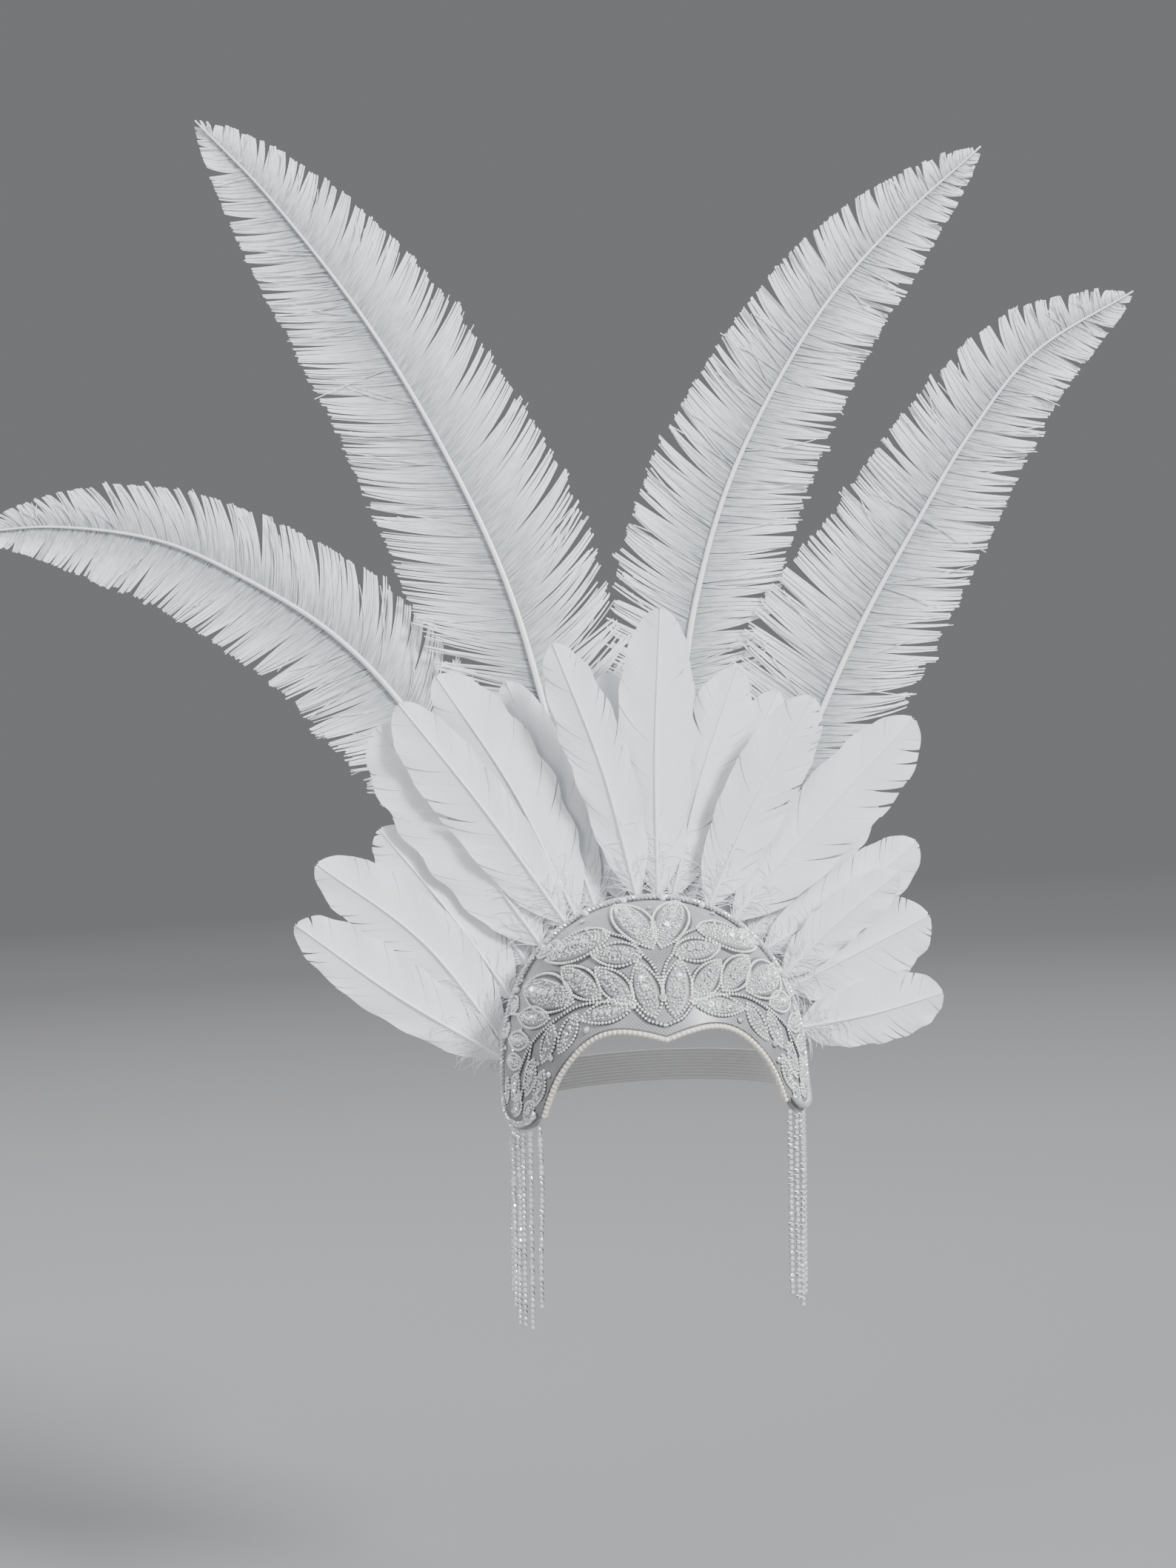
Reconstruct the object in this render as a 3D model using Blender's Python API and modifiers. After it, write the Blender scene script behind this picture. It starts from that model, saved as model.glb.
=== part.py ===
"""Feathered showgirl headdress: a hollow beaded front cap with side lobes, a fan of goose
feathers with four ostrich plumes behind it, and a fringe of stone chain under each lobe.

Metres, +Z up, the face looks along -Y.  The origin is the inner top of the cap, where it
seats on the crown of the head.
"""
import math

import bmesh
import bpy
from mathutils import Vector

# ---- driving dimensions -------------------------------------------------------------------
MM = 0.001
HEAD_HALF_WIDTH = 79 * MM        # inside of the cap, side to side
HEAD_HALF_DEPTH = 95 * MM        # inside of the cap, front to back
HEAD_HEIGHT = 92 * MM            # from the widest level of the head up to the crown
HEAD_ROUNDNESS = 2.15            # 2 is an ellipsoid, more is squarer at the crown
CAP_WALL = 2.3 * MM
GAP = 0.4 * MM                   # left between pieces that are sewn or glued together

FACE_TRIM_RADIUS = 1.7 * MM
CROWN_TRIM_RADIUS = 1.8 * MM
CHAIN_RADIUS = 1.4 * MM
CHAIN_STEP = 8 * MM              # between the points of a chain's curve
CHAIN_LEAN = -0.045              # sideways drift of a hanging chain for each metre of drop
STRAP_HEIGHT = 18 * MM
STRAP_THICKNESS = 1.3 * MM
STRAP_LEVEL = -99 * MM           # middle of the strap
BACKING_THICKNESS = 2.4 * MM

FAN_RADIUS = 94 * MM             # the fan starts to lean outside this distance from the centre
GOOSE_THICKNESS = 1.2 * MM
PLUME_THICKNESS = 2.2 * MM
ROOF_SLOPE = 0.06                # how far a vane falls back from its shaft, for its width
ROOT_LIFT = 1.4 * MM             # the foot of a vane above the gap over the cap
BACKING_SPAN = 88                # degrees down from the crown to each end of the felt
BACKING_REACH = ((0, 34), (30, 32), (60, 22), (88, 9))   # at each angle, its height in mm
CHAIN_SWAY = 0.8 * MM            # how far a hanging chain bends out of its line

# a layer of the fan: its depth at the cap, and how far it leans back for each metre outwards
LAYERS = {
    "front": (4.4 * MM, -0.040),
    "second": (6.9 * MM, 0.000),
    "third": (9.4 * MM, 0.045),
    "fourth": (11.9 * MM, 0.090),
    "plume_front": (15.2 * MM, 0.130),
    "plume_back": (18.6 * MM, 0.150),
    "backing": (23.4 * MM, 0.150),
}

# the face edge of one half of the cap: degrees round from the front, height in mm
FACE_EDGE = ((0, -63.5), (7, -60.3), (14.5, -58.8), (21.5, -60.4), (28, -65.5), (34, -73.5),
             (39.5, -83), (44, -93), (48, -103), (53, -110), (61, -113.4), (71, -113.8))
# the rear edge of one half: degrees down from the crown, distance behind the crown in mm
REAR_EDGE = ((0, 30), (10, 30), (20, 30), (31, 29.5), (43, 29), (56, 28), (68, 26), (80, 22),
             (90, 15), (97, 6), (103, -7), (105.3, -17))
# the silver cord round the bottom of one lobe: distance behind the crown, height in mm
LOBE_CORD = ((-54.6, -103.6), (-48.5, -107.6), (-39, -110.2), (-28, -110.3), (-18, -109.3),
             (-10, -105), (-4, -98), (-1, -90))

# a goose feather: degrees from the crown where it is fixed, tip x and z in mm, sideways bow,
# half widths on its left-hand and right-hand side looking from the root to the tip, layer
GOOSE_FEATHERS = (
    (-81, (-191, 1), -3, 15, 20, "front"),
    (-75, (-178, 33), 9, 18, 21, "second"),
    (-59, (-143, 50), 2, 19, 20, "third"),
    (-46, (-122, 66), 0, 16, 17, "fourth"),
    (-38, (-141, 106), 1, 25, 20, "second"),
    (-27, (-128, 118), 2, 22, 16, "front"),
    (-23, (-107, 133), 5, 16, 24, "third"),
    (-16, (-68, 128), 2, 16, 16, "fourth"),
    (-2, (-42, 146), 4, 16, 17, "front"),
    (0, (-12, 130), 0, 17, 17, "fourth"),
    (5, (19, 163), -2, 21, 21, "second"),
    (10, (61, 128), -3, 19, 19, "third"),
    (17, (84, 114), -2, 16, 16, "fourth"),
    (22, (100, 109), -3, 19, 19, "front"),
    (31, (157, 94), -2, 19, 25, "second"),
    (39, (134, 58), 0, 18, 18, "fourth"),
    (46, (156, 25), 3, 17, 18, "third"),
    (57, (142, 9), -2, 13, 13, "front"),
    (62, (159, -16), 0, 22, 22, "second"),
    (69, (150, -36), 0, 16, 16, "fourth"),
    (77, (163, -59), 2, 19, 17, "front"),
)
GOOSE_OUTLINE = ((0, 0.12), (0.1, 0.44), (0.24, 0.8), (0.44, 0.97), (0.66, 1.0), (0.84, 0.86),
                 (0.95, 0.55), (1, 0.2))

# an ostrich plume: name, root angle, points of the shaft in mm, half widths, layer
PLUMES = (
    ("plume_upper_left", -18, ((-45, 100), (-64, 184), (-96, 265), (-136, 342), (-186, 416),
                               (-227, 465)), 54, 56, "plume_front"),
    ("plume_lower_left", -33, ((-92, 60), (-126, 118), (-163, 161), (-208, 194), (-259, 221),
                               (-317, 233), (-366, 233)), 46, 42, "plume_back"),
    ("plume_upper_right", 10, ((28, 90), (42, 165), (72, 246), (124, 329), (175, 384),
                               (234, 433)), 46, 46, "plume_back"),
    ("plume_lower_right", 31, ((82, 50), (132, 143), (172, 205), (211, 260), (253, 305),
                               (315, 339)), 46, 46, "plume_front"),
)
PLUME_OUTLINE = ((0, 0.04), (0.08, 0.4), (0.18, 0.85), (0.3, 1.0), (0.45, 1.02), (0.6, 0.93),
                 (0.72, 0.82), (0.82, 0.68), (0.9, 0.47), (0.96, 0.25), (1, 0.04))

# the chains under a lobe, front to rear: where each hangs behind the crown, its length in mm
CHAIN_PLACES = (-53.5, -44.1, -34.7, -25.3, -15.9, -6.5)
LEFT_CHAIN_LENGTHS = (96, 105, 104, 105, 98, 94)
RIGHT_CHAIN_LENGTHS = (98, 99, 104, 99, 95, 90)


# ---- shared geometry ----------------------------------------------------------------------
def smooth_path(points, steps):
    """Points read from a Catmull-Rom curve through the given ones, steps to each span."""
    places = [Vector(p) for p in points]
    ends = [places[0] * 2 - places[1]] + places + [places[-1] * 2 - places[-2]]
    path = []
    for i in range(len(places) - 1):
        a, b, c, d = ends[i:i + 4]
        for k in range(steps):
            t = k / steps
            path.append(0.5 * (2 * b + (c - a) * t + (2 * a - 5 * b + 4 * c - d) * t ** 2
                               + (3 * b - a - 3 * c + d) * t ** 3))
    return path + [places[-1]]


def even_path(points, spacing):
    """The same smooth curve with its points about one spacing apart."""
    fine = smooth_path(points, 24)
    lengths = [0.0]
    for a, b in zip(fine, fine[1:]):
        lengths.append(lengths[-1] + (b - a).length)
    count = max(2, round(lengths[-1] / spacing))
    path = []
    k = 0
    for i in range(count + 1):
        goal = lengths[-1] * i / count
        while k < len(fine) - 2 and lengths[k + 1] < goal:
            k += 1
        part = (goal - lengths[k]) / (lengths[k + 1] - lengths[k])
        path.append(fine[k].lerp(fine[k + 1], part))
    return path


def between(table, at):
    """A value read from a table of (place, value) pairs."""
    for (a, low), (b, high) in zip(table, table[1:]):
        if at <= b:
            return low + (high - low) * (at - a) / (b - a)
    return table[-1][1]


def on_head(point):
    """Carry a point straight out from the middle of the head to the inside of the cap."""
    x, y, z = point
    rho = math.hypot(x / HEAD_HALF_WIDTH, y / HEAD_HALF_DEPTH)
    rise = (z + HEAD_HEIGHT) / HEAD_HEIGHT
    if rise <= 0:
        return Vector((x / rho, y / rho, z))
    size = (rho ** HEAD_ROUNDNESS + rise ** HEAD_ROUNDNESS) ** (1 / HEAD_ROUNDNESS)
    return Vector((x / size, y / size, rise / size * HEAD_HEIGHT - HEAD_HEIGHT))


def outward(point):
    """The direction square to the cap at a point on it."""
    x, y, z = point
    rho = math.hypot(x / HEAD_HALF_WIDTH, y / HEAD_HALF_DEPTH)
    rise = max(0.0, (z + HEAD_HEIGHT) / HEAD_HEIGHT)
    pull = rho ** (HEAD_ROUNDNESS - 2) if rho > 0 else 0.0
    return Vector((pull * x / HEAD_HALF_WIDTH ** 2, pull * y / HEAD_HALF_DEPTH ** 2,
                   rise ** (HEAD_ROUNDNESS - 1) / HEAD_HEIGHT)).normalized()


def face_point(degrees, height):
    """A point on the head at an angle round from the front and at a height."""
    angle = math.radians(degrees)
    rise = max(0.0, (height + HEAD_HEIGHT) / HEAD_HEIGHT)
    rho = (1 - rise ** HEAD_ROUNDNESS) ** (1 / HEAD_ROUNDNESS)
    reach = rho / math.hypot(math.sin(angle) / HEAD_HALF_WIDTH, math.cos(angle) / HEAD_HALF_DEPTH)
    return Vector((reach * math.sin(angle), -reach * math.cos(angle), height))


def crown_point(degrees, back):
    """A point on the head at an angle down from the crown, a distance behind it."""
    angle = math.radians(degrees)
    across = 1.0
    for _ in range(30):
        start = Vector((across * math.sin(angle) * HEAD_HALF_WIDTH, back,
                        across * math.cos(angle) * HEAD_HALF_WIDTH - HEAD_HEIGHT))
        across *= math.hypot(*(on_head(start).xz + Vector((0, HEAD_HEIGHT)))) \
            / math.hypot(*(start.xz + Vector((0, HEAD_HEIGHT))))
    return Vector((across * math.sin(angle) * HEAD_HALF_WIDTH, back,
                   across * math.cos(angle) * HEAD_HALF_WIDTH - HEAD_HEIGHT))


def fan_depth(x, z, layer):
    """How far back a layer of the fan lies at a place seen from the front."""
    depth, lean = LAYERS[layer]
    return depth + lean * max(0.0, math.hypot(x, z + HEAD_HEIGHT) - FAN_RADIUS)


# ---- materials and objects ----------------------------------------------------------------
def material(name, colour, roughness, metallic=0.0):
    made = bpy.data.materials.new(name)
    made.use_nodes = True
    shader = made.node_tree.nodes["Principled BSDF"]
    shader.inputs["Base Color"].default_value = (*colour, 1)
    shader.inputs["Roughness"].default_value = roughness
    shader.inputs["Metallic"].default_value = metallic
    return made


def add_object(name, data, finish):
    made = bpy.data.objects.new(name, data)
    data.materials.append(finish)
    COLLECTION.objects.link(made)
    return made


def add_tube(name, points, radius, finish):
    """A round cord or chain: a curve with a bevel and filled caps."""
    curve = bpy.data.curves.new(name, "CURVE")
    curve.dimensions = "3D"
    curve.bevel_depth = radius
    curve.bevel_resolution = 2
    curve.use_fill_caps = True
    spline = curve.splines.new("POLY")
    spline.points.add(len(points) - 1)
    for spot, point in zip(spline.points, points):
        spot.co = (*point, 1)
    return add_object(name, curve, finish)


def add_sheet(name, columns, rows, place, thickness, finish, mirror=False):
    """A wall: a grid bent by a rule, mirrored where it is symmetric, with a thickness."""
    shape = bmesh.new()
    bmesh.ops.create_grid(shape, x_segments=columns, y_segments=rows, size=1)
    for vert in shape.verts:
        vert.co = place((vert.co.x + 1) / 2, (vert.co.y + 1) / 2)
    bmesh.ops.recalc_face_normals(shape, faces=shape.faces)
    mesh = bpy.data.meshes.new(name)
    shape.to_mesh(mesh)
    shape.free()
    mesh.shade_smooth()
    made = add_object(name, mesh, finish)
    if mirror:
        half = made.modifiers.new("other_half", "MIRROR")
        half.merge_threshold = 0.0001
    wall = made.modifiers.new("wall", "SOLIDIFY")
    wall.thickness = thickness
    wall.offset = 0
    return made


# ---- the pieces ---------------------------------------------------------------------------
def build_cap(finish):
    """The front shell: from the face edge over the crown, with a lobe down over each ear."""
    steps = 2
    face = smooth_path([face_point(a, z * MM) for a, z in FACE_EDGE], steps)
    rear = smooth_path([crown_point(a, y * MM) for a, y in REAR_EDGE], steps)
    columns = len(face) - 1

    def place(u, v):
        i = round(u * columns)
        inner = on_head(face[i].lerp(rear[i], v))
        if i == 0:
            inner.x = 0.0
        return inner + outward(inner) * CAP_WALL / 2

    return add_sheet("cap", columns, 9, place, CAP_WALL, finish, mirror=True)


def build_face_trim(finish):
    """The bead edging along the brow, from one temple over the peak to the other."""
    stop = 9
    right = [face_point(a, z * MM) for a, z in FACE_EDGE[:stop]]
    left = [Vector((-p.x, p.y, p.z)) for p in reversed(right[1:])]
    half_wall = CAP_WALL / 2
    drop = FACE_TRIM_RADIUS + GAP
    rows = []
    for side in (left + right[:1], right):
        rows.append(even_path([p + outward(p) * half_wall for p in side], 6 * MM))
    edge = rows[0] + rows[1][1:]
    path = []
    for i, point in enumerate(edge):
        along = edge[min(i + 1, len(edge) - 1)] - edge[max(i - 1, 0)]
        down = along.cross(outward(point)).normalized()
        if down.z > 0:
            down = -down
        path.append(point + down * drop)
    return add_tube("face_trim", path, FACE_TRIM_RADIUS, finish)


def build_crown_trim(finish):
    """The silver cord: round the bottom of one lobe, over the crown and round the other."""
    lift = CAP_WALL + GAP + CROWN_TRIM_RADIUS
    lobe = []
    for back, height in LOBE_CORD:
        across = HEAD_HALF_WIDTH * math.sqrt(1 - (back * MM / HEAD_HALF_DEPTH) ** 2)
        lobe.append(Vector((across, back * MM, height * MM)))
    arch = [crown_point(angle, 0.0) for angle in range(80, -81, -10)]
    other = [Vector((-p.x, p.y, p.z)) for p in reversed(lobe)]
    route = [p + outward(p) * lift for p in lobe + arch + other]
    return add_tube("crown_trim", even_path(route, 6 * MM), CROWN_TRIM_RADIUS, finish)


def build_feather(name, shaft, left, right, outline, layer, thickness, finish):
    """A vane with a low ridge along its shaft, cut to an outline."""
    stations = [t for t, _ in outline]
    path = smooth_path([Vector((x, 0, z)) for x, z in shaft], 8)
    columns = len(stations) - 1

    def spot(t):
        at = t * (len(path) - 1)
        i = min(int(at), len(path) - 2)
        return path[i].lerp(path[i + 1], at - i), (path[i + 1] - path[i]).normalized()

    def place(u, v):
        t = stations[round(u * columns)]
        middle, along = spot(t)
        side = round(v * 2) - 1
        across = Vector((along.z, 0, -along.x))
        width = (right if side > 0 else left) * between(outline, t)
        at = middle + across * side * width
        back = fan_depth(at.x, at.z, layer) + ROOF_SLOPE * abs(side) * width
        return Vector((at.x, back, at.z))

    return add_sheet(name, columns, 2, place, thickness, finish)


def root_point(degrees, layer):
    """Where a quill is fixed, just outside the cap."""
    inner = crown_point(degrees, LAYERS[layer][0])
    at = inner + outward(inner) * (CAP_WALL + GAP + ROOT_LIFT)
    return at.x, at.z


def build_goose_feathers(finish):
    for number, (angle, tip, bow, left, right, layer) in enumerate(GOOSE_FEATHERS, 1):
        root = Vector(root_point(angle, layer))
        end = Vector(tip) * MM
        along = (end - root).normalized()
        middle = (root + end) / 2 + Vector((along.y, -along.x)) * bow * MM
        build_feather(f"goose_feather_{number:02d}", (root, middle, end), left * MM, right * MM,
                      GOOSE_OUTLINE, layer, GOOSE_THICKNESS, finish)


def build_plumes(finish):
    for name, angle, points, left, right, layer in PLUMES:
        shaft = [root_point(angle, layer)] + [(x * MM, z * MM) for x, z in points]
        build_feather(name, shaft, left * MM, right * MM, PLUME_OUTLINE, layer, PLUME_THICKNESS,
                      finish)


def build_backing(finish):
    """The felt crescent behind the quills, standing on the cap."""
    def place(u, v):
        angle = BACKING_SPAN * (2 * u - 1)
        inner = crown_point(angle, LAYERS["backing"][0] - BACKING_THICKNESS)
        foot = inner + outward(inner) * (CAP_WALL + GAP)
        spread = Vector((math.sin(math.radians(angle)), 0, math.cos(math.radians(angle))))
        at = foot + spread * between(BACKING_REACH, abs(angle)) * MM * v
        return Vector((at.x, fan_depth(at.x, at.z, "backing"), at.z))

    return add_sheet("feather_backing", 22, 2, place, BACKING_THICKNESS, finish)


def build_strap(finish):
    """The elastic behind the head, its ends sewn just inside the rear of the cap."""
    inset = GAP + STRAP_THICKNESS / 2

    def place(u, v):
        angle = math.radians(-88 + 176 * u)
        tuck = min(1.0, max(0.0, (abs(u - 0.5) - 0.36) / 0.06))
        out = STRAP_THICKNESS / 2 + GAP - tuck * (inset + STRAP_THICKNESS / 2 + GAP)
        return Vector(((HEAD_HALF_WIDTH + out) * math.sin(angle),
                       (HEAD_HALF_DEPTH + out) * math.cos(angle),
                       STRAP_LEVEL + STRAP_HEIGHT * (v - 0.5)))

    return add_sheet("back_strap", 40, 1, place, STRAP_THICKNESS, finish)


def edge_height(back):
    """The lowest level of a lobe's bottom edge over the width of one chain."""
    edge = [face_point(a, z * MM) for a, z in FACE_EDGE]
    edge += [crown_point(a, y * MM) for a, y in reversed(REAR_EDGE[7:])]
    edge = smooth_path(edge, 24)
    return min(p.z for p in edge if abs(p.y - back) < CHAIN_RADIUS + GAP)


def build_chains(finish):
    """Six lengths of stone chain hanging from the bottom edge of each lobe."""
    for side, word, lengths in ((-1, "left", LEFT_CHAIN_LENGTHS), (1, "right", RIGHT_CHAIN_LENGTHS)):
        for number, (place, length) in enumerate(zip(CHAIN_PLACES, lengths), 1):
            back = place * MM
            across = HEAD_HALF_WIDTH * math.sqrt(1 - (back / HEAD_HALF_DEPTH) ** 2) + CAP_WALL / 2
            top = Vector((side * across, back, edge_height(back) - 2 * GAP))
            drift = CHAIN_LEAN * length * MM
            sway = CHAIN_SWAY * math.sin(2.3 * number + side)
            route = [top, top + Vector((drift * 0.3 + sway, sway / 2, -0.35 * length * MM)),
                     top + Vector((drift * 0.7, -sway / 2, -0.7 * length * MM)),
                     top + Vector((drift, 0, -length * MM))]
            add_tube(f"fringe_chain_{word}_{number}", even_path(route, CHAIN_STEP), CHAIN_RADIUS,
                     finish)


for old in list(bpy.data.objects):
    bpy.data.objects.remove(old, do_unlink=True)
COLLECTION = bpy.data.collections.new("feathered_headdress")
bpy.context.scene.collection.children.link(COLLECTION)

SILVER_NET = material("silver_net", (0.55, 0.56, 0.58), 0.42)
CREAM_BEAD = material("cream_bead", (0.80, 0.72, 0.55), 0.35)
SILVER_CORD = material("silver_cord", (0.80, 0.81, 0.83), 0.3, 0.5)
GOOSE_WHITE = material("goose_white", (0.86, 0.89, 0.91), 0.55)
OSTRICH_WHITE = material("ostrich_white", (0.88, 0.90, 0.92), 0.7)
WHITE_FELT = material("white_felt", (0.78, 0.78, 0.77), 0.95)
WHITE_ELASTIC = material("white_elastic", (0.82, 0.82, 0.81), 0.8)
STONE_CHAIN = material("stone_chain", (0.85, 0.86, 0.88), 0.15, 0.7)

build_cap(SILVER_NET)
build_face_trim(CREAM_BEAD)
build_crown_trim(SILVER_CORD)
build_backing(WHITE_FELT)
build_strap(WHITE_ELASTIC)
build_plumes(OSTRICH_WHITE)
build_goose_feathers(GOOSE_WHITE)
build_chains(STONE_CHAIN)
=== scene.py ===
import math
import random

import bmesh
import bpy
import numpy as np
from mathutils import Matrix, Vector


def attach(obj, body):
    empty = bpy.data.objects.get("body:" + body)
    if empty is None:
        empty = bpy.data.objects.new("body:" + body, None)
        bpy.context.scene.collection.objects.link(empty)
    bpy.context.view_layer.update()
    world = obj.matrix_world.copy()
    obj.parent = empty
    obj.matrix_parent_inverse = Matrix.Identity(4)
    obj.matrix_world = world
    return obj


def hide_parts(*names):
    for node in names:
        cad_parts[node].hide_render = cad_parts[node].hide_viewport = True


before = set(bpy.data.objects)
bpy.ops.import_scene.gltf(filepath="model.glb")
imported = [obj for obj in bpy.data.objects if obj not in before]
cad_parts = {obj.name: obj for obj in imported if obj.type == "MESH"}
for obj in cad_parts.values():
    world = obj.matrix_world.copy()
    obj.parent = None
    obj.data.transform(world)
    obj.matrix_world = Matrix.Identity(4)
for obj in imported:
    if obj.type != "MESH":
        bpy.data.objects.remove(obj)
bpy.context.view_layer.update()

# ---- The cap ----
# A stiff front shell of buckram covered in silver-grey satin under a fine net, blocked over a
# head form.  It dips to a point on the brow and drops to a rounded lobe over each ear.
MM = 0.001
HALF_WIDTH = 79 * MM
HALF_DEPTH = 95 * MM
HEIGHT = 92 * MM
ROUNDNESS = 2.15
WALL = 2.3 * MM
# one half of the face edge: degrees round from the front, height in mm
FACE_EDGE = ((0, -63.5), (7, -60.3), (14.5, -58.8), (21.5, -60.4), (28, -65.5), (34, -73.5),
             (39.5, -83), (44, -93), (48, -103), (53, -110), (61, -113.4), (71, -113.8))
# one half of the rear edge: degrees down from the crown, mm behind it
REAR_EDGE = ((0, 30), (10, 30), (20, 30), (31, 29.5), (43, 29), (56, 28), (68, 26), (80, 22),
             (90, 15), (97, 6), (103, -7), (105.3, -17))


class Shade:
    """A shader socket that takes part in Python sums."""

    def __init__(self, tree, socket):
        self.tree = tree
        self.socket = socket

    def node(self, kind, settings=None, inputs=None, out=0):
        """Any node: its type, what is set on it first, then what goes into its sockets."""
        made = self.tree.nodes.new("ShaderNode" + kind)
        for name, value in (settings or {}).items():
            if name == "stops":
                for stop, (place, colour) in zip(made.color_ramp.elements, value):
                    stop.position = place
                    stop.color = (*colour, 1)
            else:
                setattr(made, name, value)
        for name, value in (inputs or {}).items():
            if isinstance(value, Shade):
                self.tree.links.new(value.socket, made.inputs[name])
            else:
                made.inputs[name].default_value = value
        return Shade(self.tree, made.outputs[out])

    def sum(self, operation, first, second):
        return self.node("Math", {"operation": operation}, {0: first, 1: second})

    def __add__(self, other):
        return self.sum("ADD", self, other)

    def __sub__(self, other):
        return self.sum("SUBTRACT", self, other)

    def __rsub__(self, other):
        return self.sum("SUBTRACT", other, self)

    def __mul__(self, other):
        return self.sum("MULTIPLY", self, other)

    __radd__ = __add__
    __rmul__ = __mul__

    def sine(self):
        return self.node("Math", {"operation": "SINE"}, {0: self})

    def over(self, level):
        return self.sum("GREATER_THAN", self, level)

    def ramp(self, low, low_colour, high, high_colour):
        return self.node("ValToRGB", {"stops": ((low, low_colour), (high, high_colour))},
                         {"Fac": self})


class Finish:
    """One material: a Principled shader, its constants, and what varies over the surface."""

    def __init__(self, name, **constants):
        self.material = bpy.data.materials.new(name)
        self.material.use_nodes = True
        self.tree = self.material.node_tree
        self.shader = self.tree.nodes["Principled BSDF"]
        for key, value in constants.items():
            self.shader.inputs[key.replace("_", " ").title()].default_value = value
        start = self.tree.nodes.new("ShaderNodeTexCoord")
        self.object = Shade(self.tree, start.outputs["Object"])
        self.uv = Shade(self.tree, start.outputs["UV"])

    def feed(self, **inputs):
        for key, shade in inputs.items():
            self.tree.links.new(shade.socket, self.shader.inputs[key.replace("_", " ").title()])
        return self

    def bump(self, height, strength, distance):
        return self.feed(normal=self.object.node("Bump", None, {
            "Strength": strength, "Distance": distance, "Height": height}))

    def noise(self, scale, detail=2.0, source=None):
        return self.object.node("TexNoise", None, {
            "Vector": source or self.object, "Scale": scale, "Detail": detail})

    def mottle(self, scale, low, low_colour, high, high_colour, detail=2.0):
        """Vary the base colour between two tones, and give the noise back for a bump."""
        grain = self.noise(scale, detail)
        self.feed(base_color=grain.ramp(low, low_colour, high, high_colour))
        return grain

    def axes(self, source):
        return [source.node("SeparateXYZ", None, {"Vector": source}, out=i) for i in range(3)]


def smooth_path(points, steps):
    """Points read from a Catmull-Rom curve through the given ones, steps to each span."""
    places = [Vector(p) for p in points]
    ends = [places[0] * 2 - places[1]] + places + [places[-1] * 2 - places[-2]]
    path = []
    for i in range(len(places) - 1):
        a, b, c, d = ends[i:i + 4]
        for k in range(steps):
            t = k / steps
            path.append(0.5 * (2 * b + (c - a) * t + (2 * a - 5 * b + 4 * c - d) * t ** 2
                               + (3 * b - a - 3 * c + d) * t ** 3))
    return path + [places[-1]]


def on_head(point):
    """Carry a point straight out from the middle of the head to the inside of the cap."""
    x, y, z = point
    rho = math.hypot(x / HALF_WIDTH, y / HALF_DEPTH)
    rise = (z + HEIGHT) / HEIGHT
    if rise <= 0:
        return Vector((x / rho, y / rho, z))
    size = (rho ** ROUNDNESS + rise ** ROUNDNESS) ** (1 / ROUNDNESS)
    return Vector((x / size, y / size, rise / size * HEIGHT - HEIGHT))


def outward(point):
    """The direction square to the cap at a point on it."""
    x, y, z = point
    rho = math.hypot(x / HALF_WIDTH, y / HALF_DEPTH)
    rise = max(0.0, (z + HEIGHT) / HEIGHT)
    pull = rho ** (ROUNDNESS - 2) if rho > 0 else 0.0
    return Vector((pull * x / HALF_WIDTH ** 2, pull * y / HALF_DEPTH ** 2,
                   rise ** (ROUNDNESS - 1) / HEIGHT)).normalized()


def face_point(degrees, height):
    """A point on the head at an angle round from the front and at a height."""
    angle = math.radians(degrees)
    rise = max(0.0, (height + HEIGHT) / HEIGHT)
    rho = (1 - rise ** ROUNDNESS) ** (1 / ROUNDNESS)
    reach = rho / math.hypot(math.sin(angle) / HALF_WIDTH, math.cos(angle) / HALF_DEPTH)
    return Vector((reach * math.sin(angle), -reach * math.cos(angle), height))


def crown_point(degrees, back):
    """A point on the head at an angle down from the crown, a distance behind it."""
    angle = math.radians(degrees)
    reach = HALF_WIDTH
    for _ in range(30):
        start = Vector((reach * math.sin(angle), back, reach * math.cos(angle) - HEIGHT))
        found = on_head(start)
        reach *= math.hypot(found.x, found.z + HEIGHT) / reach
    return Vector((reach * math.sin(angle), back, reach * math.cos(angle) - HEIGHT))


def add_object(name, data):
    thing = bpy.data.objects.new(name, data)
    bpy.context.scene.collection.objects.link(thing)
    return thing


def add_piece(name, shape, finish, nodes=(), sharp=40):
    """Turn a shape that can write itself as a mesh, or a mesh, into a piece on the one body."""
    mesh = shape
    if not isinstance(shape, bpy.types.Mesh):
        mesh = bpy.data.meshes.new(name)
        shape.to_mesh(mesh)
    mesh.shade_smooth()
    mesh.set_sharp_from_angle(angle=math.radians(sharp))
    piece = add_object(name, mesh)
    for each in finish if isinstance(finish, tuple) else (finish,):
        mesh.materials.append(each.material)
    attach(piece, "root")
    if nodes:
        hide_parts(*nodes)
    return piece


def chart_of(point):
    """Degrees across and up from the middle of the front, as a cap maker draws the pattern."""
    away = (point - Vector((0, 0, -HEIGHT))).normalized()
    turn = math.degrees(math.acos(max(-1.0, min(1.0, -away.y))))
    flat = math.hypot(away.x, away.z) or 1.0
    return turn * away.x / flat, turn * away.z / flat


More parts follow.
